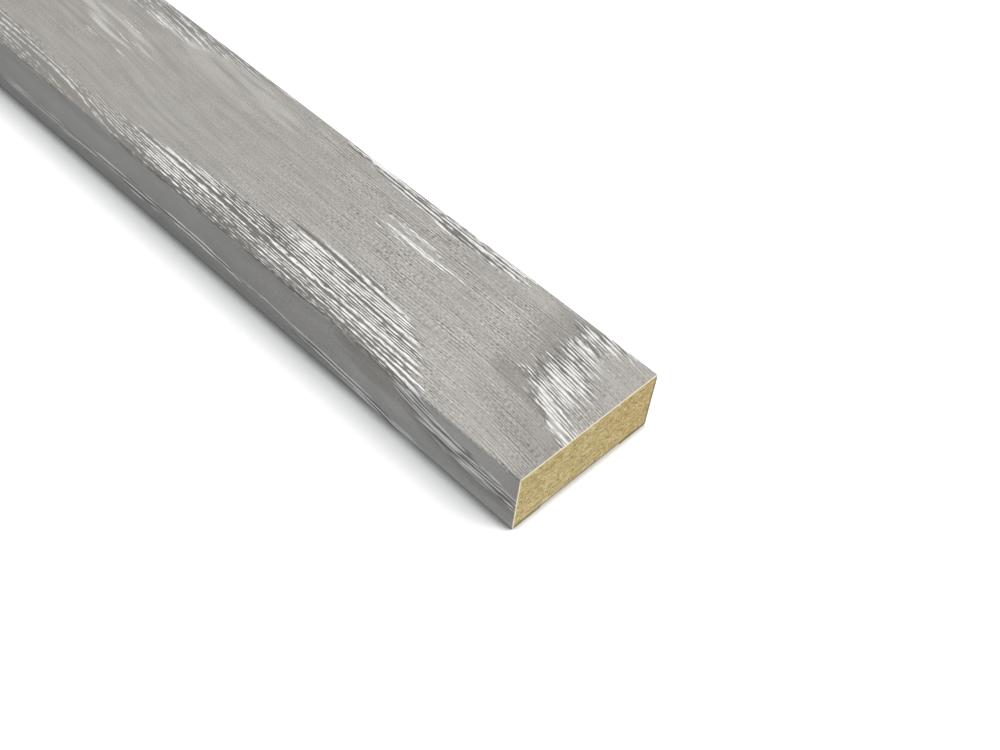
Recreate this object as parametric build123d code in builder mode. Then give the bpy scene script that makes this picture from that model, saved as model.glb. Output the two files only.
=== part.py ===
from build123d import *
import os

# Wrapped wall slat: a sawn length of fibreboard bar with a thin printed film
# folded round its face and sides and turned in under its back.
# The length runs along X, the width along Y, and the decor face looks up.
# The origin is the middle of the back, in the plane that the slat lies on.

# driving dimensions, in millimetres
slat_length = 2700.0  # stock length, sawn square at both ends
slat_width = 40.0  # across the decor face, over the film
slat_thickness = 16.0  # from the decor face to the back, over the film
film_thickness = 0.3
face_arris_radius = 0.2  # core's two edges beside the decor face, left nearly sharp
back_arris_radius = 0.3  # core's two edges beside the back, barely eased for the film to turn in
lap_width = 8.0  # how far the film reaches in under the back, from each side

# the core fills the film, so its section follows from the wrapped sizes
core_width = slat_width - 2 * film_thickness
core_thickness = slat_thickness - 2 * film_thickness
bare_back_width = slat_width - 2 * lap_width
half_length = slat_length / 2

with BuildPart() as mdf_core:
    with BuildSketch(Plane.YZ) as core_section:
        with Locations((0, slat_thickness / 2)):
            Rectangle(core_width, core_thickness)
        fillet(core_section.vertices().group_by(Axis.Y)[-1], radius=face_arris_radius)
        fillet(core_section.vertices().group_by(Axis.Y)[0], radius=back_arris_radius)
    extrude(amount=half_length, both=True)
mdf_core.part.label = "mdf_core"

# the film hugs the core at one thickness, and its two cut edges leave the middle of the back bare
with BuildPart() as decor_film:
    with BuildSketch(Plane.YZ) as film_section:
        add(core_section.sketch_local)
        offset(amount=film_thickness, kind=Kind.ARC)
        add(core_section.sketch_local, mode=Mode.SUBTRACT)
        with Locations((0, film_thickness / 2)):
            Rectangle(bare_back_width, film_thickness, mode=Mode.SUBTRACT)
    extrude(amount=half_length, both=True)
decor_film.part.label = "decor_film"

os.makedirs("parts", exist_ok=True)
export_step(mdf_core.part, "parts/mdf_core.step")
export_step(decor_film.part, "parts/decor_film.step")
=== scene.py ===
import math

import bpy
import numpy as np
from mathutils import Matrix, Vector, noise


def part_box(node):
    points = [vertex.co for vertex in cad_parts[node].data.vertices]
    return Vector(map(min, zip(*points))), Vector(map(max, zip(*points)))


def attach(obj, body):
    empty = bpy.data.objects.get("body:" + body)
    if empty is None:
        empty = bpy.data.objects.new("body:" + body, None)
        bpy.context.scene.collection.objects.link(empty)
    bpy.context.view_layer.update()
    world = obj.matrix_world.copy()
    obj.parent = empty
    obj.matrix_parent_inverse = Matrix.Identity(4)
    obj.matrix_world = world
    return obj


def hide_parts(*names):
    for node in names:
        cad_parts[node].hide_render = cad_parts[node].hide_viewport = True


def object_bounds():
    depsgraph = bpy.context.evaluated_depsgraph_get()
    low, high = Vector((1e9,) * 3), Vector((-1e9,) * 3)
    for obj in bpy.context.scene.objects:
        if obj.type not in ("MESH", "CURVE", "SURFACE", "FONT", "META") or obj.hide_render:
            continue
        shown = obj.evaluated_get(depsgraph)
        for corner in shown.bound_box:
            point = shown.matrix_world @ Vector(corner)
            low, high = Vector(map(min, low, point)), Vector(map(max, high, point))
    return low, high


# A wrapped wall slat: fibreboard core, limed grey oak film, on a plain white floor.
# Meshes are in metres. The film's print map and all sizes in the dictionaries are in millimetres.

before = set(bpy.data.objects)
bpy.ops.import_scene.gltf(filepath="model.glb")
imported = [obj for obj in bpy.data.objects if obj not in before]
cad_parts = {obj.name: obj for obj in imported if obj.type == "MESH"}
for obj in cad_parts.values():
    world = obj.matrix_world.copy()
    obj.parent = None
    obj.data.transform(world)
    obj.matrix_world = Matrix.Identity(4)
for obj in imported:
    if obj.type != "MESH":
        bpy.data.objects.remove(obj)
cadLow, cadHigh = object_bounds()
mm = 0.001
slatLong = (cadHigh[0] - cadLow[0]) / mm
print("frame loaded, box in mm", [round(size / mm, 2) for size in cadHigh - cadLow])


def tone(red, green, blue):  # a picture colour, 0 to 255, as Blender's linear colour
    shares = [channel / 255 for channel in (red, green, blue)]
    return (*[s / 12.92 if s <= 0.04045 else ((s + 0.055) / 1.055) ** 2.4 for s in shares], 1)


class Wire:  # one output socket, with operators, so that shader maths reads as sums
    def __init__(self, socket):
        self.socket = socket

    @staticmethod
    def node(tree, kind, settings=None, values=None, output=0):
        made = tree.nodes.new(kind)
        for name, setting in (settings or {}).items():
            if name == "stops":  # a ramp's places and colours
                ramp = made.color_ramp
                while len(ramp.elements) < len(setting):
                    ramp.elements.new(0.5)
                for stop, (place, colour) in zip(ramp.elements, setting):
                    stop.position = place
                    stop.color = colour
            elif name == "points":  # a float curve's points, each from 0 to 1
                line = made.mapping.curves[0]
                while len(line.points) < len(setting):
                    line.points.new(0.5, 0.5)
                for point, place in zip(line.points, setting):
                    point.location = place
                    point.handle_type = "AUTO_CLAMPED"
                made.mapping.update()
            else:
                setattr(made, name, setting)
        for name, value in (values or {}).items():
            if isinstance(value, Wire):
                tree.links.new(value.socket, made.inputs[name])
            else:
                made.inputs[name].default_value = value
        return None if output is None else Wire(made.outputs[output])

    def other(self, name):  # another output of the same node
        return Wire(self.socket.node.outputs[name])

    def maths(self, operation, first, second=0.0, third=0.0):
        values = {0: first, 1: second, 2: third}
        return Wire.node(self.socket.id_data, "ShaderNodeMath", {"operation": operation}, values)

    def __add__(self, value):
        return self.maths("ADD", self, value)

    __radd__ = __add__

    def __sub__(self, value):
        return self.maths("SUBTRACT", self, value)

    def __rsub__(self, value):
        return self.maths("SUBTRACT", value, self)

    def __mul__(self, value):
        return self.maths("MULTIPLY", self, value)

    __rmul__ = __mul__

    def __neg__(self):
        return self.maths("MULTIPLY", self, -1.0)

    def __pow__(self, value):
        return self.maths("POWER", self, value)

    def sine(self):
        return self.maths("SINE", self)

    def size(self):
        return self.maths("ABSOLUTE", self)

    def fraction(self):
        return self.maths("FRACT", self)

    def most(self, value):
        return self.maths("MAXIMUM", self, value)

    def least(self, value):
        return self.maths("MINIMUM", self, value)

    def ease(self, low, high, start=0.0, end=1.0):
        # goes softly from start to end as the value goes from low to high
        settings = {"interpolation_type": "SMOOTHSTEP"}
        values = {"Value": self, "From Min": low, "From Max": high, "To Min": start, "To Max": end}
        return Wire.node(self.socket.id_data, "ShaderNodeMapRange", settings, values)

    def follow(self, points, span, reach):
        # reads a line through a few (along, across) points; span and reach are its two ranges
        long, tall = span[1] - span[0], reach[1] - reach[0]
        settings = {"points": [((a - span[0]) / long, (b - reach[0]) / tall) for a, b in points]}
        share = self.ease(span[0], span[1])
        share.socket.node.interpolation_type = "LINEAR"
        line = Wire.node(self.socket.id_data, "ShaderNodeFloatCurve", settings, {"Value": share})
        return line * tall + reach[0]

    def paint(self, under, over):  # under where this mask is 0, over where it is 1
        return Wire.node(self.socket.id_data, "ShaderNodeMix", {"data_type": "RGBA"},
                         {0: self, 6: under, 7: over}, 2)


def grain(u, v, longScale, wideScale, seed, detail=0.0):
    # noise drawn out along u, about 0 on average and about 1 in spread; scales in mm
    tree = u.socket.id_data
    place = Wire.node(tree, "ShaderNodeCombineXYZ", None,
                      {0: u * (1 / longScale) + seed * 7.31, 1: v * (1 / wideScale) + seed * 3.77})
    cloud = Wire.node(tree, "ShaderNodeTexNoise", {"noise_dimensions": "2D"},
                      {"Vector": place, "Scale": 1.0, "Detail": detail, "Roughness": 0.5})
    return (cloud - 0.5) * 7.0


# what a user would change on the film
film = {
    "name": "decor_wrap",
    "columns": {"face": 20, "faceArc": 6, "side": 14, "backArc": 8, "lap": 7},
    "ringStep": 25.0,
    "chip": 0.05,  # how far the saw frays the film's cut edge back
    "chipScale": 1.4,
    "chipShift": 20,  # how differently its inner line frays
    "seed": 11,
    "plainTone": tone(178, 174, 168),
    "coolTone": tone(175, 172, 167),
    "sideShadeTint": tone(179, 178, 175),  # the sides' cooler tone is painted shade, the tint of skylight on them
    "lateWoodAndShadeTone": tone(150, 146, 141),  # the dense, darker side of each year ring, also painted as shade low on the side near the sawn end
    "limeTone": tone(250, 250, 247),
    "limeShade": tone(216, 215, 211),
    "hazeTone": tone(222, 220, 216),
    "poreTone": tone(92, 89, 86),
    "bandTone": tone(128, 125, 121),  # bare wood between the limed dashes
    "linePitch": 0.85,
    "sidePitch": 1.3,
    "rowPitch": 0.56,
    "speck": 0.5,  # fine grain between the rows
    "dashDepth": 0.26,
    "relief": 0.05,
    "roughness": 0.56,
    "specular": 0.35,
    "rimHighlightTone": tone(255, 248, 232),  # a painted highlight on the print's edge beside the saw cut
    "rimWide": 0.22,
    "rimFull": 0.1,
    "cutTone": tone(255, 251, 238),
    "cutShade": tone(244, 230, 204),
    "cutFar": tone(172, 162, 112),  # the cut on the far side, darker and olive
    "cutGroundShade": tone(124, 115, 82),  # painted shade on the laps' cut beside the ground
    "cutGrain": 900.0,  # noise scale on the cut edge
    "cutRelief": 0.01,
}

# The print's noise layers: long and wide in mm, seed, and detail where it isn't 0.
layers = {
    "wander": (90, 16, 1),
    "pitch": (60, 3, 3),
    "sidePitch": (30, 2.5, 21),
    "sideStreak": (9, 0.68, 22, 1.0),
    "thread": (12, 0.7, 24),
    "short": (2.3, 0.25, 4, 1.0),
    "long": (30, 0.42, 11, 1.0),
    "broad": (18, 1.9, 13),
    "cloudy": (5.5, 2.2, 15),
    "ragged": (16, 0.5, 5),
    "raggedEdge": (9, 0.6, 6),
    "row": (40, 2.2, 12),
    "rowFade": (7, 0.8, 19),
    "dash": (7, 0.26, 7),
    "speck": (0.75, 0.24, 23),
    "cluster": (14, 5, 8),
    "longLine": (26, 1.1, 9),
    "cloud": (60, 18, 10),
    "flameTip": (420, 1, 16),
    "flameWave": (160, 12, 17),
    "flameLime": (120, 9, 18),
}

# The print's limed bands near the +X end: u runs along from that end, v across the unrolled film
# from the middle of the face, less than 0 towards the near side.
bandSpan, bandReach = (-340, 0), (-42, 24)
bands = {
    "nearUpper": [
        (-340, -25), (-290, -17), (-210, -13), (-175, -12.6), (-163, -13.2), (-150, -14.4),
        (-132, -14.2), (-122, -13.4), (-110, -12.2), (-98, -10.9), (-91, -10.5), (-79, -8.4), (-70, -6),
        (-60, -6), (-46, -7.1), (-38, -10.2), (-35, -13.4), (-31, -16.8), (-28.6, -19.7), (-25, -21.6),
        (-20, -23.2), (-10, -24.5), (0, -25.8)
    ],
    "nearLower": [
        (-340, -27), (-290, -23), (-210, -20.6), (-105, -20.4), (-75, -20.4), (-48, -20.4),
        (-41, -20.6), (-38, -21.1), (-35, -22.7), (-30, -25.4), (-25, -27.4), (-20, -28.8), (-10, -29.7),
        (0, -30.2)
    ],
    "sideUpper": [
        (-340, -31.5), (-280, -29), (-210, -30), (-170, -30.3), (-150, -29.3), (-140, -30),
        (-130, -28.8), (-120, -29.4), (-105, -28.9), (-91, -29.4), (-78, -30), (-70, -30.2), (-60, -30.8),
        (-50, -31.4), (-42, -31.7), (-36, -32.8), (-31, -33.6), (-22, -35.6), (0, -38)
    ],
    "sideLower": [
        (-340, -30), (-280, -31), (-210, -31.8), (-170, -32), (-150, -31.9), (-138, -32),
        (-128, -30.8), (-118, -32.4), (-108, -30.6), (-98, -31.4), (-90, -31.7), (-79, -30.8), (-70, -31.4),
        (-60, -33.2), (-50, -34.2), (-42, -35.6), (-31, -36.2), (-22, -37.2), (0, -39.5)
    ],
    "topLower": [
        (-340, 22.5), (-230, 19), (-175, 16.6), (-166, 13), (-152, 13.2), (-142, 15), (-134, 17.2),
        (-124, 18.4), (-112, 19.2), (-105, 20.8), (-99, 20.6), (-93, 18.9), (-88, 18.3), (-78, 17.5),
        (-67, 16.4), (-50, 16.1), (-38, 16.2), (-35.5, 18.2), (-34, 21), (0, 22.5)
    ],
    "thread": [
        (-340, -30.2), (-210, -30.6), (-105, -29.3), (-86, -30), (-67, -31.1), (-54, -31.7), (-42, -32.4),
        (-31, -34.2), (-21, -35.7), (0, -38.6)
    ],
}

# the fan beside the sawn end is read across: v first, then u
fanSpan, fanReach = (-12, 24), (-24, 10)
fans = {
    "left": [
        (-12, 3), (-10, 0.5), (-8.6, -1.5), (-7.6, -4), (-6.6, -6.5), (-5.6, -8.8), (-3.9, -12.4),
        (-3.2, -14.2), (-1.5, -15.6), (-0.2, -17.8), (1, -19.2), (2, -18), (6, -18.2), (8, -17),
        (12, -18), (14, -18), (15, -16.5), (16, -18.6), (18, -18), (20, -12), (24, -6)
    ],
    "right": [
        (-12, 8), (-4.2, 2), (-3.2, -1.5), (-2.2, -3.6), (-1, -4.5), (1, -5.6), (3, -6.4), (5, -4.4),
        (6, -4), (8, -7.5), (10, -8.5), (12, -9), (14, -11), (16, -10.5), (18, -8), (20, -5.5),
        (24, 2)
    ],
    "gap": [
        (-12, 8), (-8, -4), (-6, -8), (-4, -10), (-2.4, -12), (-1, -14), (1, -14.2), (3, -14.8),
        (9, -14.6), (13, -14.6), (15, -15.6), (18, -15), (21, -9), (24, 0)
    ],
}

# What changes along the slat, each with its range first: how far the grain lines fall, on the face,
# on the side and in the rows, how limed the near band is, how deep the dashes are, how light it is and how
# much painted shade lies on the side under the arris.
courses = {
    "drift": ((0, 15), [
        (-340, 0), (-210, 1.4), (-160, 3.2), (-122, 6.8), (-105, 7.2), (-45, 8.7), (-30, 9.1), (-22, 9.6),
        (-14, 10.6), (-6, 11.7), (0, 12.5)
    ]),
    "sideDrift": ((0, 15), [
        (-340, 0), (-210, 2), (-105, 5), (-46, 7.2), (-38, 8.4), (-21, 11.3), (-12, 12), (0, 12)
    ]),
    "rowFall": ((0, 8), [
        (-340, 0), (-210, 1.2), (-110, 2.6), (-66, 3.4), (-22, 3.7), (-10, 4.4), (0, 5.6)
    ]),
    "nearBias": ((-1, 1), [
        (-340, -0.3), (-150, -0.45), (-124, -0.4), (-112, 0.12), (-102, 0.1), (-94, -0.3), (-82, -0.5),
        (-73, 0.15), (-64, 0), (-46, 0.12), (0, 0.1)
    ]),
    "depth": ((0, 2), [
        (-340, 0.6), (-210, 0.4), (-140, 0.25), (-110, 0.4), (-80, 0.9), (-62, 1.2), (-50, 1.4),
        (-38, 1.25), (-26, 1.15), (-18, 0.95), (0, 0.95)
    ]),
    "level": ((0.5, 1.5), [
        (-340, 0.95), (-210, 0.83), (-175, 0.825), (-148, 0.855), (-133, 0.88), (-113, 0.865), (-98, 0.89),
        (-83, 0.915), (-60, 0.945), (-45, 0.975), (-30, 1.02), (0, 1)
    ]),
    "sideShadeUnderArris": ((-0.2, 0.2), [
        (-340, -0.05), (-175, -0.15), (-130, -0.14), (-118, -0.02), (-98, -0.03), (-88, -0.1), (-60, -0.12),
        (-50, -0.16), (-40, -0.05), (-32, 0), (0, 0)
    ]),
}

# how each part weakens away from the end: u from, u to, share there and share near the end
fades = {
    "near": (-140, -102, 0.5, 1),
    "arris": (-47, -37, 1, 0.35),
    "ragged": (-60, -42, 1, 0.45),
    "topLean": (-112, -100, -0.45, 0.1),
    "topWhite": (-120, -104, 0.6, 0.95),
    "topBare": (-120, -104, 0.5, 0.95),
    "topDark": (-120, -104, 0.2, 0.55),
    "thread": (-150, -112, 0.45, 1),
    "streaks": (-130, -100, 0.7, 1),
    "sideShadeFade": (-52, -42, 0, 0.85),
    "lowSideWoodAndShade": (-52, -32, 0.09, -0.065),
    "foot": (-52, -36, 0.16, 0.23),
}

# where a band's signal turns white, bare or dark: none there, all there
steps = {
    "nearWhite": (-0.15, 0.55), "nearBare": (0.25, -0.35), "nearDark": (-0.2, -0.9),
    "topWhite": (-0.1, 0.6), "topBare": (0.2, -0.4), "topDark": (0, -0.8),
    "fanWhite": (-0.05, 0.75), "fanDark": (0.1, -0.8),
    "threadWhite": (-0.2, 0.65), "threadDark": (0.1, 0.8),
    "streakWhite": (0, 0.8), "streakBare": (0.2, -0.6),
}

# single patches beside and in the bands: along, across, half length, half width, strength
patches = {
    "limed": [
        (-61, 9.8, 13, 1.1, 0.95), (-55, 7.6, 15, 0.85, 1.05), (-64, 6.3, 8, 0.5, 0.8),
        (-77, -30.7, 13, 0.4, 0.9), (-157, -1.2, 6, 0.6, 0.8), (-154, 7.4, 8, 0.6, 0.7),
        (-154, 3.2, 6, 0.6, 0.8), (-3, -29.2, 9, 0.6, 1.05)
    ],
    "haze": [
        (-61, 9.3, 10, 1.4, 0.15), (-168, 6.2, 24, 2.6, 0.45), (-156, 3, 13, 2.2, 0.7),
        (-152, 15, 19, 2.8, 0.6), (-124, 13.5, 34, 5.5, 0.22), (-98, 15.6, 9, 2.4, 0.3),
        (-166, -29.8, 18, 1.6, 0.16), (-130, -29, 14, 1, 0.16)
    ],
    "dusk": [
        (-142, 13.4, 24, 0.9, 0.3), (-152, 18.4, 14, 2, 0.45), (-30, -20.6, 30, 0.8, 0.2),
        (-40, -23.6, 14, 4.8, 0.75), (-72, -25.5, 30, 7, 0.25), (-42, 13, 22, 5, 0.2),
        (-10, -9, 17, 3.6, 0.35), (-17, -2, 10, 4.5, 0.85), (-4, -11, 14, 4.5, 0.65)
    ],
    "nearBias": [(-75, -9.6, 8, 2.2, 0.3), (-75, -14.2, 8, 2.2, -0.4), (-31, -24, 10, 1.9, -0.4)],
}

# the rest of the slat: year rings that the flat cut opens into long flames
rings = {
    "spacing": 150.0,  # along the slat
    "limed": 0.15,  # share of a ring
    "late": 0.2,
    "flame": 96.0,  # a larger number gives blunter flames
    "swing": 9.0,  # how far the flames' tips wander across the slat
    "wave": 22,  # how far their edges wander along it
}
print("tones, layers, bands and rings set")


def between(low, value, high, soft):  # 1 from low to high, with soft sides
    return (value - low).ease(-soft, soft) * (high - value).ease(-soft, soft)


def lens(u, v, patch):  # a long pointed patch: middle, half length, half width and strength
    alongMiddle, acrossMiddle, halfLong, halfWide, strength = patch
    along = (u - alongMiddle) * (1 / halfLong)
    across = (v - acrossMiddle) * (1 / halfWide)
    return (1.0 - along * along - across * across).ease(0.0, 0.7) * strength


def strongest(u, v, kind):  # the strongest patch of a kind at each place
    found = lens(u, v, patches[kind][0])
    for patch in patches[kind][1:]:
        found = found.most(lens(u, v, patch))
    return found


def course(u, name):
    reach, points = courses[name]
    return u.follow(points, bandSpan, reach)


def decorPattern(u, v):
    # the grain lines fall a little towards the sawn end, most in the fan beside it
    wander = grain(u, v, *layers["wander"]) * 0.3
    turned = v.ease(-18, -23)
    across = v + course(u, "drift") * (1.0 - turned) + course(u, "sideDrift") * turned + wander
    onSide = v.ease(-20.2, -21.4)

    # limed lines at an uneven pitch, broken into short and long streaks
    pitch = across * (1 / film["linePitch"]) + grain(u, across, *layers["pitch"]) * 0.4
    lines = (pitch * math.tau).sine()
    sidePitch = across * (1 / film["sidePitch"]) + grain(u, across, *layers["sidePitch"]) * 0.3
    sideStreak = (sidePitch * math.tau).sine() * 0.45 + grain(u, across, *layers["sideStreak"]) * 0.75
    thread = v + wander * 0.3 - u.follow(bands["thread"], bandSpan, bandReach)  # thin lines low on the side
    threadStreak = ((thread * (1 / film["sidePitch"]) + 0.25) * math.tau).sine() * 0.8
    threadStreak = threadStreak + grain(u, thread, *layers["thread"]) * 0.35
    short = grain(u, across, *layers["short"])
    long = grain(u, across, *layers["long"])
    broad = grain(u, across, *layers["broad"])
    cloudy = grain(u, across, *layers["cloudy"])
    low = v.ease(-9.0, -16.5)  # the near band breaks up towards the arris
    nearStreak = lines * (0.85 + short * 0.4) + long * 0.12 + short * 0.4
    nearStreak = nearStreak * (1.0 - onSide) + sideStreak * onSide
    fanStreak = lines * (1.0 + short * 0.3) + short * 0.4
    longStreak = lines * 0.55 + long * 0.45 + short * 0.4

    # the streaks end raggedly along every band's edge
    ragged = grain(u, across, *layers["ragged"]) * 2.2
    uRagged = u + ragged * u.ease(*fades["ragged"])
    vRagged = v + grain(u, across, *layers["raggedEdge"]) * 0.3
    edge = {name: uRagged.follow(bands[name], bandSpan, bandReach) for name in bands if name != "thread"}
    nearTop = edge["nearUpper"] - vRagged
    nearLow = edge["nearLower"]
    near = nearTop.ease(-0.35, 0.35) * (vRagged - nearLow).ease(-0.35, 0.35)
    side = between(edge["sideLower"], vRagged, edge["sideUpper"], 0.5)
    top = between(edge["topLower"], vRagged, 21.2, 0.35)
    fanLeft, fanRight, fanGap = [v.follow(fans[name], fanSpan, fanReach) for name in ("left", "right", "gap")]
    fan = between(fanLeft, u + ragged * v.ease(-2.0, 0.0, 0.3, 0.6), fanRight, 0.9)
    inFan = u - fanLeft
    inGap = u + ragged * 0.5 + cloudy * 0.8 - fanGap
    fringe = between(-0.6, inGap, 0.6, 0.5)  # a greyer gap behind the fan's first dashes
    body = fan * inGap.ease(-0.2, 1.2)
    streaks = strongest(uRagged, v, "limed")
    haze = strongest(u + ragged * 0.5, v, "haze") * broad.ease(-1.6, 1.4)
    haze = haze.most(body * cloudy.ease(-1.4, 1.0) * 0.65)

    # darker wood behind the fan and in patches, and painted shade on the side under the near band
    late = inFan.ease(-12, -0.5) * inFan.ease(0.5, 3.0, 1.0, 0.0)
    # painted shade on the side under the near band, towards the sawn end
    paintedSideShade = (nearLow - v).ease(3.6, 0.8) * (nearLow - v).ease(-0.6, 0.0) * onSide
    dusk = (late * v.ease(4.0, 10.0, 0.65, 1.0)).most(paintedSideShade * u.ease(*fades["sideShadeFade"]))
    dusk = dusk.most(strongest(uRagged, v, "dusk"))

    # the flames, kept clear of the bands above
    rest = u.ease(-212, -232).most(v.ease(21.0, 22.2)).most(v.ease(-36.4, -37.2))
    tip = v - grain(u, 0.0, *layers["flameTip"]) * rings["swing"]
    ringPlace = u - tip.size() ** 3 * (1 / rings["flame"]) + ragged * 2.0
    ringPlace = ringPlace + grain(u, v, *layers["flameWave"]) * rings["wave"]
    ring = (ringPlace * (1 / rings["spacing"])).fraction()
    limed = rings["limed"] + grain(u, v, *layers["flameLime"]) * 0.05
    flame = ring.ease(0.0, 0.02) * (limed - ring).ease(-0.05, 0.05) * rest
    dusk = dusk * (1.0 - rest) + ring.ease(1.0 - rings["late"], 0.99) * rest * 0.7
    near = near.most(flame)

    # one signal for each kind of band: limed where it is high, bare and dark where it is low
    arris = v.ease(-16.5, -19.5, 0.0, -0.85) + onSide * 0.85
    nearBias = broad.ease(-1.8, 1.8, -0.3, 0.25) + arris * u.ease(*fades["arris"]) + course(u, "nearBias")
    nearBias = nearBias + nearTop.ease(0.0, 2.5, 0.08, 0.0)
    for patch in patches["nearBias"]:
        nearBias = nearBias + lens(u, v, patch)
    nearSignal = nearStreak + nearBias * (1.0 - rest)
    topSignal = lines * 0.55 + long * 0.75 + short * 0.35 + cloudy * 0.15 + u.ease(*fades["topLean"])
    fanSignal = fanStreak + cloudy.ease(-1.4, 1.6, -0.22, 0.27) - fringe * 0.35 + body * 0.3 - 0.12
    fanSignal = fanSignal - inFan.ease(0.0, 4.0, 0.3, 0.0) - (fanRight - u).ease(0.0, 3.0, 0.35, 0.0)

    # farther off the thin lines blur together, so they fade there
    fresh = u.ease(*fades["near"]).most(rest)
    clear = u.ease(*fades["thread"]).most(rest)
    white = nearSignal.ease(*steps["nearWhite"]) * near * fresh * (1.0 - onSide * 0.2)
    white = white * nearTop.ease(0.0, 1.8, 0.8, 1.0)
    white = white.most(topSignal.ease(*steps["topWhite"]) * top * u.ease(*fades["topWhite"]))
    white = white.most(fanSignal.ease(*steps["fanWhite"]) * fan)
    threadLime = threadStreak + (side - 0.9) * 3.0
    white = white.most(threadLime.ease(*steps["threadWhite"]) * 0.95 * clear)
    streakLime = longStreak + (streaks - 0.8) * 2.2
    white = white.most(streakLime.ease(*steps["streakWhite"]) * u.ease(*fades["streaks"]))
    bare = near * nearSignal.ease(*steps["nearBare"]) * fresh
    bare = bare.most(top * topSignal.ease(*steps["topBare"]) * u.ease(*fades["topBare"]))
    bare = bare.most(streaks.least(1.0) * longStreak.ease(*steps["streakBare"]) * 0.5)
    dark = near * nearSignal.ease(*steps["nearDark"]) * (1.0 - low * 0.5) * fresh
    dark = dark * nearTop.ease(0.5, 3.0, 0.55, 1.0)
    fanDark = fan * fanSignal.ease(*steps["fanDark"]) * (0.8 - body * 0.15)
    dark = dark.most(fanDark * v.ease(-4.0, 5.0, 0.65, 1.0))
    dark = dark.most(top * topSignal.ease(*steps["topDark"]) * u.ease(*fades["topDark"]))
    dark = dark * (1.0 - onSide * 0.15)
    dark = dark.most(((side - 0.95) * 3.6 - threadStreak).ease(*steps["threadDark"]) * 0.85 * clear)

    # level rows of fine dashes in clusters, faint long lines and clouds over all of it
    inRow = v + course(u, "rowFall") + wander * 0.5
    row = (inRow * (1 / film["rowPitch"]) + grain(u, inRow, *layers["row"]) * 0.25) * math.tau
    dash = row.sine() * (0.65 + grain(u, inRow, *layers["rowFade"]) * 0.3)
    dash = dash + grain(u, inRow, *layers["dash"]) * 0.26
    dash = dash + grain(u, inRow, *layers["speck"]) * film["speck"]
    cluster = grain(u, v, *layers["cluster"]).ease(-1.6, 1.6, 0.65, 1.15)
    longLine = grain(u, across, *layers["longLine"]) * (1.0 - onSide * 0.8)
    cloud = grain(u, v, *layers["cloud"])
    depth = course(u, "depth") * v.ease(-20.0, -21.0, 1.0, 0.45) * film["dashDepth"]

    # light and dark along the slat; the side has painted shade under the arris, darker wood and painted shade
    # low down away from the end, is lighter there near the end, and is paler at the foot
    level = course(u, "level") * (1.0 - v.ease(-31.0, -33.5) * u.ease(*fades["lowSideWoodAndShade"]))
    level = level * (1.0 + course(u, "sideShadeUnderArris") * v.ease(-24.0, -21.0) * onSide)
    level = level * (1.0 + v.ease(-33.4, -34.8) * u.ease(*fades["foot"]))
    shade = level + dash * cluster * depth + longLine * 0.03 + cloud * 0.015 + cloudy * 0.014

    colour = cloud.ease(-1.5, 1.5).paint(film["plainTone"], film["coolTone"])
    # the sides take a cooler tone as painted shade
    colour = v.size().ease(19.5, 20.3).paint(colour, film["sideShadeTint"])
    colour = dusk.paint(colour, film["lateWoodAndShadeTone"])
    colour = Wire.node(u.socket.id_data, "ShaderNodeMix", {"data_type": "RGBA", "blend_type": "MULTIPLY"},
                       {0: 1.0, 6: colour, 7: shade}, 2)
    colour = haze.paint(colour, film["hazeTone"])
    colour = (bare * (0.85 - dash * 0.15)).paint(colour, film["bandTone"])
    colour = (dark * 0.95).paint(colour, film["poreTone"])
    lime = (short * 0.5 + dash * 0.5).ease(-1.6, 0.6).paint(film["limeShade"], film["limeTone"])
    colour = white.paint(colour, lime)
    # a painted highlight along the print's edge at both sawn ends, weaker on the shaded sides
    wide, full = film["rimWide"], film["rimFull"]
    rim = u.ease(-wide, -full).most(u.ease(wide - slatLong, full - slatLong))
    colour = (rim * (0.6 - onSide * 0.2)).paint(colour, film["rimHighlightTone"])
    height = white * 0.6 - dark * 0.8 + dash * cluster * (1 - near.most(fan).least(1.0)) * 0.3
    return {"colour": colour, "white": white, "dark": dark, "height": height}


def newMaterial(name):
    made = bpy.data.materials.new(name)
    made.use_nodes = True
    made.node_tree.nodes.clear()
    return made, made.node_tree


def inParts(tree, place):  # a place's X, Y and Z, each an output
    return Wire.node(tree, "ShaderNodeSeparateXYZ", None, {0: place})


def printPlace(tree):  # u and v on the film's own map, as X and Y
    return inParts(tree, Wire.node(tree, "ShaderNodeUVMap", {"uv_map": "print"}))


def ownPlace(tree):  # the piece's own coordinates, in metres
    return Wire.node(tree, "ShaderNodeTexCoord").other("Object")


def plainNoise(tree, scale, detail):
    values = {"Vector": ownPlace(tree), "Scale": scale, "Detail": detail}
    return Wire.node(tree, "ShaderNodeTexNoise", None, values)


def finishMaterial(tree, values, height=None, depth=0.0):
    # a Principled shader with these sockets, and relief of this depth in mm
    if height is not None:
        values["Normal"] = Wire.node(tree, "ShaderNodeBump", None,
                                     {"Strength": 1.0, "Distance": depth * mm, "Height": height})
    shader = Wire.node(tree, "ShaderNodeBsdfPrincipled", None, values)
    Wire.node(tree, "ShaderNodeOutputMaterial", None, {"Surface": shader}, None)


def printMaterial():
    made, tree = newMaterial("limed grey oak print")
    place = printPlace(tree)
    pattern = decorPattern(place.other("X"), place.other("Y"))
    roughness = film["roughness"] + pattern["white"] * 0.08 - pattern["dark"] * 0.05
    values = {"Base Color": pattern["colour"], "Roughness": roughness, "Specular IOR Level": film["specular"]}
    finishMaterial(tree, values, pattern["height"], film["relief"])
    return made


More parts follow.
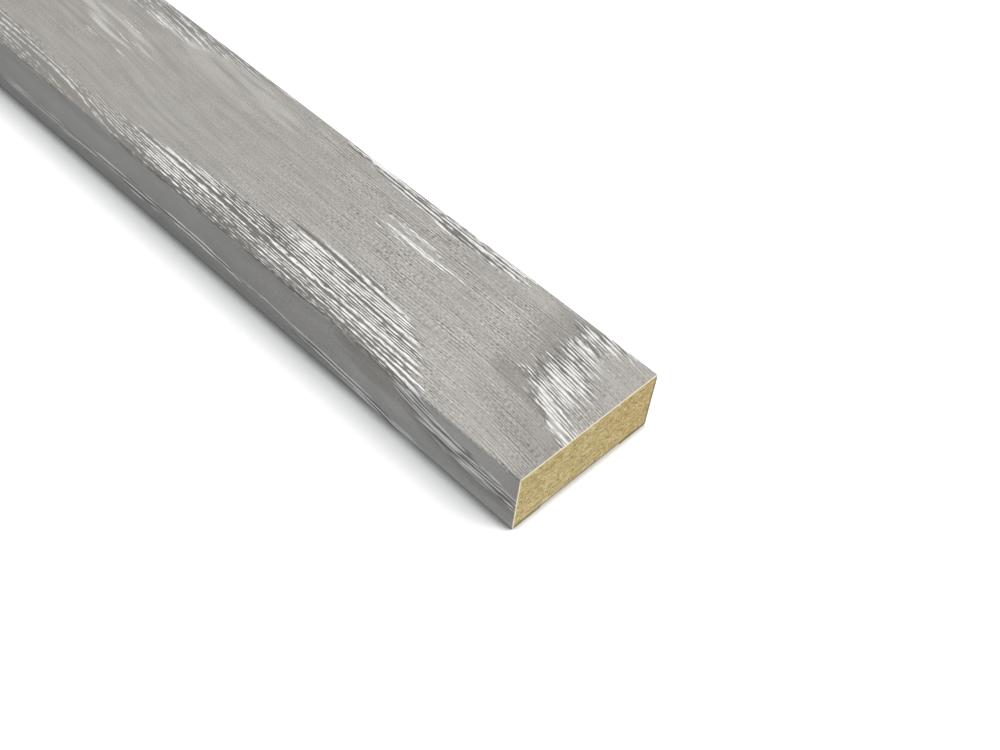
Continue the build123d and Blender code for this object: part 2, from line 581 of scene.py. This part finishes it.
def cutMaterial():
    made, tree = newMaterial("film cut edge")
    cloud = plainNoise(tree, film["cutGrain"], 2.0)
    run = printPlace(tree).other("Y")
    colour = cloud.ease(0.3, 0.7).paint(film["cutTone"], film["cutShade"])
    colour = (run.ease(20.2, 21.0) * 0.9).paint(colour, film["cutFar"])
    # painted shade on the laps' cut beside the ground
    colour = (run.size().ease(35.0, 36.4) * 0.9).paint(colour, film["cutGroundShade"])
    values = {"Base Color": colour, "Roughness": cloud.ease(0.2, 0.8, 0.6, 0.75)}
    finishMaterial(tree, values, cloud, film["cutRelief"])
    return made


def frayed(place, seed, scale):  # smooth noise along a cut, from 0 up
    return max(0.0, 0.5 + 0.9 * noise.noise(Vector((place * scale, seed * 5.3, 0.7))))


def outerLine():
    # the film's outer line on the +Y half, from the middle of the face to the lap's cut edge:
    # y, z, and the outward direction
    count, s = film["columns"], section
    line = [(0.0, s["height"], 0.0, 1.0)]

    def straight(y, z, pieces):
        y0, z0, ny, nz = line[-1]
        for k in range(1, pieces + 1):
            line.append((y0 + (y - y0) * k / pieces, z0 + (z - z0) * k / pieces, ny, nz))

    def bend(radius, z, start, pieces):  # a quarter circle round a corner of the section
        for k in range(1, pieces + 1):
            angle = math.radians(start - 90 * k / pieces)
            ny, nz = math.cos(angle), math.sin(angle)
            line.append((s["halfWidth"] - radius + radius * ny, z + radius * nz, ny, nz))

    straight(s["halfWidth"] - s["faceRadius"], s["height"], count["face"])
    bend(s["faceRadius"], s["height"] - s["faceRadius"], 90, count["faceArc"])
    straight(s["halfWidth"], s["backRadius"], count["side"])
    bend(s["backRadius"], s["backRadius"], 0, count["backArc"])
    straight(s["bareHalf"], 0.0, count["lap"])
    return line


# how far from the middle a node's flat at one height starts and ends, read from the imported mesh
def flatReach(node, height):
    rows = [abs(v.co.y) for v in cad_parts[node].data.vertices if abs(v.co.z - height) < mm / 1000]
    return min(rows), max(rows)


filmLow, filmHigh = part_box("decor_film")
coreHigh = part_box("mdf_core")[1]
bareHalf, lapReach = flatReach("decor_film", filmLow.z)
section = {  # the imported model's own section
    "halfLength": filmHigh.x, "halfWidth": filmHigh.y, "height": filmHigh.z, "bareHalf": bareHalf,
    "film": filmHigh.z - coreHigh.z, "faceRadius": filmHigh.y - flatReach("decor_film", filmHigh.z)[1],
    "backRadius": filmHigh.y - lapReach,
}
print("section in mm", {name: round(size / mm, 3) for name, size in section.items()})

# The pieces' bake maps, in shares of the map: a free rim at the left and right, where each row
# starts, and how tall it is. The long surfaces lie in three strips.
bakeRim = 0.004
strips = 3
filmMap = {
    "outside": 0.006, "outsidePitch": 0.315, "outsideTall": 0.303,
    "inside": 0.955, "insideTall": 0.012,
    "laps": (0.975, 0.983), "ends": (0.989, 0.995), "cutTall": 0.004,
}
boardMap = {
    "endPitch": 0.385, "endTall": 0.376,
    "back": 0.772, "backPitch": 0.058, "backTall": 0.052,
    "rest": 0.95, "restTall": 0.04,
}


def inMap(share):  # a share of the map's width, inside its rim
    return bakeRim + (1 - 2 * bakeRim) * share


def addPiece(name, mesh):
    piece = bpy.data.objects.new(name, mesh)
    bpy.context.scene.collection.objects.link(piece)
    return piece


def makeFilm():
    half = outerLine()
    run = [0.0]
    for (y0, z0, *_), (y1, z1, *_) in zip(half, half[1:]):
        run.append(run[-1] + math.hypot(y1 - y0, z1 - z0))
    # the whole line, from the +Y lap to the -Y lap, with v from above 0 to below 0
    line = [(y, z, ny, nz, r) for (y, z, ny, nz), r in zip(half, run)][::-1]
    line += [(-y, z, -ny, nz, -r) for (y, z, ny, nz), r in zip(half[1:], run[1:])]
    columns = len(line)
    shareAcross = [(r + run[-1]) / (2 * run[-1]) for *_, r in line]

    end = section["halfLength"]
    third = end / 3
    stations = [-end, -end + mm]
    for start, stop in ((-end + mm, -third), (-third, third), (third, end - mm)):
        steps = round((stop - start) / (film["ringStep"] * mm))
        stations += [start + (stop - start) * k / steps for k in range(1, steps + 1)]
    stations.append(end)

    # outer surface first, then the inner one, ring by ring from the far end
    points, normals = [], []
    for depth, facing in ((0.0, 1), (section["film"], -1)):
        for x in stations:
            for y, z, ny, nz, r in line:
                along = x
                if abs(x) == end:  # the saw frays the cut a little
                    scale = film["chipScale"] + film["chipShift"] * depth
                    fray = frayed(r / mm, film["seed"] + (x > 0), scale)
                    along -= math.copysign(film["chip"] * mm * fray, x)
                points.append((along, y - ny * depth, z - nz * depth))
                normals.append((0.0, ny * facing, nz * facing))
    inner = len(stations) * columns

    faces, kinds, maps = [], [], []  # kinds: 0 print, 1 cut or inner face

    def add(corners, kind, spots):
        faces.append(corners)
        kinds.append(kind)
        maps.extend(spots)

    def addCut(corners, row, flip):  # each corner has its number, its share along the map, and 0 or 1 up it
        corners = corners[::-1] if flip else corners
        add([i for i, *_ in corners], 1, [(inMap(x), row + filmMap["cutTall"] * up) for _, x, up in corners])

    for k, pair in enumerate(zip(stations, stations[1:])):
        strip = min(strips - 1, int((sum(pair) / 2 + end) / (2 * third)))
        inStrip = [inMap((x + end) / (2 * third) - strip) for x in pair]
        share = [(x + end) / (2 * end) for x in pair]
        outside = filmMap["outside"] + filmMap["outsidePitch"] * strip
        for c in range(columns - 1):
            a, b = k * columns + c, (k + 1) * columns + c
            across = shareAcross[c:c + 2]
            add((a, a + 1, b + 1, b), 0, [(inStrip[i], outside + filmMap["outsideTall"] * across[j])
                                          for i, j in ((0, 0), (0, 1), (1, 1), (1, 0))])
            add((inner + a, inner + b, inner + b + 1, inner + a + 1), 1,
                [(inMap(share[i]), filmMap["inside"] + filmMap["insideTall"] * across[j])
                 for i, j in ((0, 0), (1, 0), (1, 1), (0, 1))])
        # the two cut edges along the laps
        for c, row, flip in ((0, filmMap["laps"][0], False), (columns - 1, filmMap["laps"][1], True)):
            a, b = k * columns + c, (k + 1) * columns + c
            addCut([(a, share[0], 0), (b, share[1], 0), (inner + b, share[1], 1), (inner + a, share[0], 1)],
                   row, flip)
    # the two sawn ends
    for k, row, flip in ((0, filmMap["ends"][0], True), (len(stations) - 1, filmMap["ends"][1], False)):
        for c in range(columns - 1):
            a = k * columns + c
            low, high = shareAcross[c:c + 2]
            addCut([(a, low, 0), (a + 1, high, 0), (inner + a + 1, high, 1), (inner + a, low, 1)], row, flip)

    mesh = bpy.data.meshes.new(film["name"])
    mesh.from_pydata(points, [], faces)
    mesh.update()
    mesh.polygons.foreach_set("material_index", kinds)
    printMap = mesh.uv_layers.new(name="print")
    bakeMap = mesh.uv_layers.new(name="OFBake")
    loops = np.zeros(len(mesh.loops), int)
    mesh.loops.foreach_get("vertex_index", loops)
    runs = np.array([r / mm for *_, r in line])
    alongs = np.array([x for x, *_ in points]) / mm - end / mm
    printMap.data.foreach_set("uv", np.stack([alongs[loops], runs[loops % columns]], 1).ravel())
    bakeMap.data.foreach_set("uv", np.array(maps).ravel())
    mesh.uv_layers.active = bakeMap
    mesh.materials.append(printMaterial())
    mesh.materials.append(cutMaterial())

    # the flats stay flat beside the arrises, and every cut is sharp
    corner = [normals[v] for v in loops]
    for face in mesh.polygons:
        atLap = max(v % inner % columns for v in face.vertices) in (0, columns - 1)
        if kinds[face.index] == 1 and (abs(face.normal.x) > 0.5 or atLap):
            for loop in face.loop_indices:
                corner[loop] = tuple(face.normal)
    mesh.polygons.foreach_set("use_smooth", [True] * len(mesh.polygons))
    mesh.normals_split_custom_set(corner)
    print("film made,", len(mesh.polygons) * 2, "triangles")
    return addPiece(film["name"], mesh)


filmPiece = makeFilm()
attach(filmPiece, "root")
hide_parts("decor_film")


# what a user would change on the board
board = {
    "name": "fibre_board",
    "cell": 0.17,  # the sawn ends' grid
    "recess": 0.16,  # how far the sawn board stands back from the film's cut
    "rough": 0.055,  # height of the saw's tear
    "tears": ((0.7, 0.3, 0, 0.9), (1.8, 0.7, 9, 0.5), (9, 6, 17, 0.4)),  # wide, tall, seed step, share
    "seed": 23,
    "fibres": 700,  # loose fibres on each sawn end
    "fibreLong": 0.55,
    "fibreThick": 0.035,
    "fibreBend": 0.3,  # share of the length
    "fibreSteps": 5,
    "fibreSides": 4,
    "fibreStretch": (0.35, 1.5),
    "fibreInset": 1.0,  # free rim round the fibres
    "fibreSink": 0.1,
    "sawnTone": tone(207, 189, 138),
    "sawnShade": tone(194, 177, 120),
    "sawnBlush": tone(212, 184, 126),
    "sawnPale": tone(240, 226, 182),
    "sawnDark": tone(140, 116, 66),
    "sawnWarm": tone(198, 164, 103),  # towards the far side
    "sawnFootShade": tone(106, 100, 70),  # painted shade on the lowest line, beside the ground
    "sawnRelief": 0.04,
    "sandedTone": tone(190, 172, 126),
    "sandedShade": tone(180, 162, 114),
    "sandedRelief": 0.01,
    "fibreTone": tone(232, 216, 170),
    "fibreShade": tone(178, 152, 102),
    "fibreGrain": 700.0,  # noise scale on the fibres
}

# the board's noise layers, as the print's
boardLayers = {
    "speck": (0.42, 0.2, 1, 2.0),
    "bundle": (1.1, 0.34, 2, 1.0),
    "layer": (5.0, 0.7, 8, 1.0),
    "cloud": (4.5, 3.0, 3, 1.0),
    "tint": (6.0, 5.0, 4),
    "dust": (0.7, 0.5, 5, 1.0),
    "sandedCloud": (30, 7, 6, 1.0),
    "scratch": (22, 0.35, 7),
}


def sawnMaterial():
    made, tree = newMaterial("sawn fibreboard")
    place = inParts(tree, ownPlace(tree))
    up = place.other("Z") * (1 / mm)
    across = place.other("Y") * (1 / mm) + place.other("X").ease(-0.1, 0.1, 40, 0)  # the two ends differ
    speck, bundle, layer, cloud, tint = [grain(across, up, *boardLayers[name])
                                         for name in ("speck", "bundle", "layer", "cloud", "tint")]
    torn = speck * 0.85 + bundle * 0.7 + layer * 0.5
    colour = cloud.ease(-1.6, 1.6).paint(board["sawnTone"], board["sawnShade"])
    colour = (tint.ease(0.3, 1.8) * 0.3).paint(colour, board["sawnBlush"])
    colour = (place.other("Y").ease(-0.002, 0.019) * 0.4).paint(colour, board["sawnWarm"])
    colour = torn.ease(0.25, 2.2, 0.0, 0.95).paint(colour, board["sawnPale"])
    colour = (-torn).ease(0.25, 2.2, 0.0, 0.95).paint(colour, board["sawnDark"])
    # painted shade along the lowest line of the sawn end, beside the ground
    colour = up.ease(0.85, 0.4, 0.0, 0.85).paint(colour, board["sawnFootShade"])
    values = {"Base Color": colour, "Roughness": speck.ease(-2, 2, 0.82, 0.95), "Specular IOR Level": 0.2}
    finishMaterial(tree, values, speck * 0.5 + bundle * 0.5, board["sawnRelief"])
    return made


def sandedMaterial():
    made, tree = newMaterial("sanded fibreboard")
    place = inParts(tree, ownPlace(tree))
    along = place.other("X") * (1 / mm)
    across = (place.other("Y") + place.other("Z")) * (1 / mm)
    dust, cloud, scratch = [grain(along, across, *boardLayers[name])
                            for name in ("dust", "sandedCloud", "scratch")]
    colour = cloud.ease(-1.6, 1.6).paint(board["sandedTone"], board["sandedShade"])
    colour = dust.ease(0.4, 2.6, 0.0, 0.45).paint(colour, board["sawnPale"])
    colour = dust.ease(-0.4, -2.6, 0.0, 0.4).paint(colour, board["sawnDark"])
    values = {"Base Color": colour, "Roughness": scratch.ease(-2, 2, 0.7, 0.84), "Specular IOR Level": 0.3}
    finishMaterial(tree, values, scratch * 0.4 + dust * 0.3, board["sandedRelief"])
    return made


def fibreMaterial():
    made, tree = newMaterial("loose wood fibre")
    cloud = plainNoise(tree, board["fibreGrain"], 1.0)
    colour = cloud.ease(0.35, 0.65).paint(board["fibreTone"], board["fibreShade"])
    finishMaterial(tree, {"Base Color": colour, "Roughness": cloud.ease(0.3, 0.7, 0.75, 0.9)})
    return made


def halfWidthAt(z):  # half the board's width at a height
    s = section
    low, high = s["film"], s["height"] - s["film"]
    flat = s["halfWidth"] - s["film"]
    for radius, gap in ((s["backRadius"] - s["film"], z - low), (s["faceRadius"] - s["film"], high - z)):
        if gap < radius:
            return flat - radius + math.sqrt(max(0.0, radius * radius - (radius - gap) ** 2))
    return flat


def sawnDepth(y, z, seed):  # how far the sawn end is torn back at a place, in mm
    height = sum(share * noise.noise(Vector((y / mm / wide, z / mm / tall, seed + step)))
                 for wide, tall, step, share in board["tears"])
    return board["recess"] - board["rough"] * max(-1.0, min(1.0, height))


def makeBoard():
    end = section["halfLength"]
    low, high = section["film"], section["height"] - section["film"]
    rows = round((high - low) / (board["cell"] * mm))
    columns = round(2 * (section["halfWidth"] - section["film"]) / (board["cell"] * mm))
    heights = [low + (high - low) * k / rows for k in range(rows + 1)]
    points, faces, kinds = [], [], []  # kinds: 0 sawn, 1 sanded

    # the two sawn ends, each a grid that fills the section
    for side in (-1, 1):
        for k, z in enumerate(heights):
            reach = halfWidthAt(z)
            for c in range(columns + 1):
                y = -reach + 2 * reach * c / columns
                atEdge = k in (0, rows) or c in (0, columns)
                depth = board["recess"] if atEdge else sawnDepth(y, z, board["seed"] + side)
                points.append((side * (end - depth * mm), y, z))
    size = (rows + 1) * (columns + 1)
    for side in (0, 1):
        for k in range(rows):
            for c in range(columns):
                a = side * size + k * (columns + 1) + c
                corners = (a, a + 1, a + columns + 2, a + columns + 1)
                faces.append(corners if side else corners[::-1])
                kinds.append(0)

    # belts between them, round the section's edge
    edge = list(range(columns + 1))
    edge += [k * (columns + 1) + columns for k in range(1, rows + 1)]
    edge += [rows * (columns + 1) + c for c in range(columns - 1, -1, -1)]
    edge += [k * (columns + 1) for k in range(rows - 1, 0, -1)]
    belts = [edge]
    for share in (-0.98, -2 / 3, -1 / 3, 0.0, 1 / 3, 2 / 3, 0.98):
        start = len(points)
        points.extend((end * share, points[e][1], points[e][2]) for e in edge)
        belts.append(list(range(start, start + len(edge))))
    belts.append([size + e for e in edge])
    for near, far in zip(belts, belts[1:]):
        for c in range(len(edge)):
            after = (c + 1) % len(edge)
            faces.append((near[c], far[c], far[after], near[after]))
            kinds.append(1)

    mesh = bpy.data.meshes.new(board["name"])
    mesh.from_pydata(points, [], faces)
    mesh.update()
    mesh.polygons.foreach_set("material_index", kinds)
    mesh.polygons.foreach_set("use_smooth", [True] * len(faces))
    mesh.materials.append(sawnMaterial())
    mesh.materials.append(sandedMaterial())
    rim = set(edge) | {size + e for e in edge}
    sharp = mesh.attributes.new("sharp_edge", "BOOLEAN", "EDGE")
    sharp.data.foreach_set("value", [rim.issuperset(e.vertices) for e in mesh.edges])
    return addPiece(board["name"], mesh)


def layOut(mesh):
    # the board's own bake map: both sawn ends large, the bare back in strips, the hidden rest small
    end = section["halfLength"] / mm
    low, high = section["film"] / mm, (section["height"] - section["film"]) / mm
    reach = (section["halfWidth"] - section["film"]) / mm
    bare = section["bareHalf"] / mm + 0.2  # the bare back, with a little of what the laps hide
    stripLong = 2 * end / strips
    middle = (low + high) / 2
    place = np.zeros(len(mesh.vertices) * 3)
    mesh.vertices.foreach_get("co", place)
    place = place.reshape(-1, 3) / mm
    spots = np.zeros((len(mesh.loops), 2))
    for face in mesh.polygons:
        corners = [mesh.loops[loop].vertex_index for loop in face.loop_indices]
        x, y, z = place[corners].T
        if abs(x).min() > end - 2:  # a sawn end, or a fibre on it
            u = (y + reach) / (2 * reach)
            v = bakeRim + boardMap["endPitch"] * (x[0] < 0) + boardMap["endTall"] * (z - low) / (high - low)
        elif z.max() < low + 0.001 and abs(y.mean()) < bare:
            strip = min(strips - 1, int((x.mean() + end) / stripLong))
            u = (x + end) / stripLong - strip
            up = (y + bare) / (2 * bare)
            v = boardMap["back"] + boardMap["backPitch"] * strip + boardMap["backTall"] * up
        else:
            turn = np.arctan2(z - middle, y / 2.4)  # round the section, from the -Y side under to the +Y side
            if turn.max() - turn.min() > 3:
                turn = np.where(turn < 0, turn + math.tau, turn)
            u = (x + end) / (2 * end)
            v = boardMap["rest"] + boardMap["restTall"] * (turn + math.pi) / math.tau
        spots[list(face.loop_indices)] = np.stack([inMap(u), v], 1)
    bakeMap = mesh.uv_layers.get("OFBake") or mesh.uv_layers.new(name="OFBake")
    bakeMap.data.foreach_set("uv", spots.ravel())
    mesh.uv_layers.active = bakeMap


def fibreTree():
    # scatters bent loose fibres over a sawn end
    tree = bpy.data.node_groups.new("loose fibres", "GeometryNodeTree")
    face = tree.interface
    for name, kind in (("Geometry", "Geometry"), ("Fibres per square metre", "Float"),
                       ("Fibre length", "Float"), ("Fibre radius", "Float"), ("Seed", "Int"),
                       ("Material", "Material")):
        face.new_socket(name, in_out="INPUT", socket_type="NodeSocket" + kind)
    face.new_socket("Geometry", in_out="OUTPUT", socket_type="NodeSocketGeometry")

    def spot(x=0.0, y=0.0, z=0.0):
        return Wire.node(tree, "ShaderNodeCombineXYZ", None, {0: x, 1: y, 2: z})

    def chance(low, high, seed):
        values = {2: low, 3: high, "Seed": seed}
        return Wire.node(tree, "FunctionNodeRandomValue", {"data_type": "FLOAT"}, values, 1)

    given = Wire.node(tree, "NodeGroupInput")
    seed, length = given.other("Seed"), given.other("Fibre length")
    scatter = Wire.node(tree, "GeometryNodeDistributePointsOnFaces", {"distribute_method": "RANDOM"},
                        {"Mesh": given, "Density": given.other("Fibres per square metre"), "Seed": seed})
    thread = Wire.node(tree, "GeometryNodeCurveQuadraticBezier", None, {
        "Resolution": board["fibreSteps"], "Start": spot(length * -0.5),
        "Middle": spot(y=length * board["fibreBend"]), "End": spot(length * 0.5)})
    ring = Wire.node(tree, "GeometryNodeCurvePrimitiveCircle", None,
                     {"Resolution": board["fibreSides"], "Radius": given.other("Fibre radius")})
    fibre = Wire.node(tree, "GeometryNodeCurveToMesh", None,
                      {"Curve": thread, "Profile Curve": ring, "Fill Caps": True})
    turn = Wire.node(tree, "FunctionNodeEulerToRotation", None, {0: spot(z=chance(0.0, math.tau, seed))})
    spin = Wire.node(tree, "FunctionNodeRotateRotation", {"rotation_space": "LOCAL"},
                     {"Rotation": scatter.other("Rotation"), "Rotate By": turn})
    stretch = chance(*board["fibreStretch"], seed + 5)
    laid = Wire.node(tree, "GeometryNodeInstanceOnPoints", None,
                     {"Points": scatter, "Instance": fibre, "Rotation": spin,
                      "Scale": spot(stretch, stretch, 1.0)})
    real = Wire.node(tree, "GeometryNodeRealizeInstances", None, {"Geometry": laid})
    dressed = Wire.node(tree, "GeometryNodeSetMaterial", None,
                        {"Geometry": real, "Material": given.other("Material")})
    Wire.node(tree, "NodeGroupOutput", None, {"Geometry": dressed}, None)
    return tree


def setInput(modifier, name, value):  # by the socket's identifier
    for socket in modifier.node_group.interface.items_tree:
        if socket.in_out == "INPUT" and socket.name == name:
            modifier[socket.identifier] = value


def makeFibres():
    # the scatter's base: the two ends' flat middles, a little inside the board's edge
    end, inset = section["halfLength"] - board["fibreSink"] * mm, board["fibreInset"] * mm
    reach = section["halfWidth"] - section["film"] - inset
    low, high = section["film"] + inset, section["height"] - section["film"] - inset
    corners = [(-reach, low), (reach, low), (reach, high), (-reach, high)]
    base = bpy.data.meshes.new("fibre base")
    base.from_pydata([(x, y, z) for x in (end, -end) for y, z in corners], [], [(0, 1, 2, 3), (7, 6, 5, 4)])
    carrier = addPiece("fibre base", base)
    modifier = carrier.modifiers.new("loose fibres", "NODES")
    modifier.node_group = fibreTree()
    setInput(modifier, "Fibres per square metre", board["fibres"] / (2 * reach * (high - low)))
    setInput(modifier, "Fibre length", board["fibreLong"] * mm)
    setInput(modifier, "Fibre radius", board["fibreThick"] * mm)
    setInput(modifier, "Seed", board["seed"])
    setInput(modifier, "Material", fibreMaterial())
    seen = carrier.evaluated_get(bpy.context.evaluated_depsgraph_get())
    mesh = bpy.data.meshes.new_from_object(seen)
    bpy.data.objects.remove(carrier)
    print("fibres made,", len(mesh.polygons), "faces")
    return addPiece("loose fibres", mesh)


boardPiece = makeBoard()
fibrePiece = makeFibres()
with bpy.context.temp_override(active_object=boardPiece, selected_editable_objects=[boardPiece, fibrePiece]):
    bpy.ops.object.join()
layOut(boardPiece.data)
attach(boardPiece, "root")
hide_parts("mdf_core")
boardPiece.data.calc_loop_triangles()
print("board made,", len(boardPiece.data.loop_triangles), "triangles")

# camera, light and ground
view = {
    "lens": 51.36,
    "place": (1443.95, -149.06, 228.14),
    "aim": (1320.61, 6.57, 0.0),
    "roll": 8.098,
    "clip": (0.01, 100),  # metres
    "sunFrom": (0.42, 0.35, 0.84),
    "sunStrength": 2.43,
    "sunTone": (1.017, 1.0, 0.984),
    "sunSoftness": 50,  # degrees across
    "skyStrength": 0.35,
    "skyTone": (0.97, 1.0, 1.03, 1),
    "floorSize": 30,  # metres
    "floorTone": 0.8,
    "contactReach": 3,
    "contactOpen": (0.5, 0.95),  # how open the floor is where that shadow is darkest, and where it ends
    "contactShadeLevel": 0.42,  # how dark the painted contact shadow makes the floor where it meets the slat
    "floorSeen": 1.45,  # the same floor as the camera sees it, so that only the shadow is not white
}


def addCamera():
    camera = addPiece("camera", bpy.data.cameras.new("camera"))
    place, aim = Vector(view["place"]) * mm, Vector(view["aim"]) * mm
    roll = Matrix.Rotation(math.radians(view["roll"]), 3, "Z")
    turn = (aim - place).to_track_quat("-Z", "Y").to_matrix() @ roll
    camera.matrix_world = Matrix.Translation(place) @ turn.to_4x4()
    camera.data.lens = view["lens"]
    camera.data.clip_start, camera.data.clip_end = view["clip"]
    bpy.context.scene.camera = camera


def addLight():
    sun = addPiece("sun", bpy.data.lights.new("sun", "SUN"))
    sun.rotation_mode = "QUATERNION"
    sun.rotation_quaternion = Vector(view["sunFrom"]).to_track_quat("Z", "Y")
    sun.data.energy = view["sunStrength"]
    sun.data.color = view["sunTone"]
    sun.data.angle = math.radians(view["sunSoftness"])

    world = bpy.data.worlds.new("studio")
    bpy.context.scene.world = world
    world.use_nodes = True
    tree = world.node_tree
    tree.nodes.clear()
    ray = Wire.node(tree, "ShaderNodeLightPath")
    seen = ray.other("Is Camera Ray").most(ray.other("Is Glossy Ray")).most(ray.other("Is Transmission Ray"))
    sky = Wire.node(tree, "ShaderNodeBackground", None,
                    {"Color": seen.paint(view["skyTone"], (1, 1, 1, 1)),
                     "Strength": seen * (1 - view["skyStrength"]) + view["skyStrength"]})
    Wire.node(tree, "ShaderNodeOutputWorld", None, {"Surface": sky}, None)


def addFloor():
    half = view["floorSize"] / 2
    mesh = bpy.data.meshes.new("floor")
    mesh.from_pydata([(-half, -half, 0), (half, -half, 0), (half, half, 0), (-half, half, 0)], [],
                     [(0, 1, 2, 3)])
    floor = addPiece("floor", mesh)
    made, tree = newMaterial("white ground")
    ray = Wire.node(tree, "ShaderNodeLightPath").other("Is Camera Ray")
    # the floor's colour darkens with ambient occlusion beside the slat, a painted contact shadow seen by the
    # camera
    near = Wire.node(tree, "ShaderNodeAmbientOcclusion", {"samples": 8},
                     {"Distance": view["contactReach"] * mm})
    contact = near.other("AO").ease(*view["contactOpen"], view["contactShadeLevel"], 1.0)
    level = ray * (contact * view["floorSeen"] - view["floorTone"]) + view["floorTone"]
    matt = Wire.node(tree, "ShaderNodeBsdfDiffuse", None, {"Color": level})
    Wire.node(tree, "ShaderNodeOutputMaterial", None, {"Surface": matt}, None)
    mesh.materials.append(made)


addCamera()
addLight()
addFloor()
bpy.context.scene.view_settings.view_transform = "Standard"
print("camera, light and ground made")
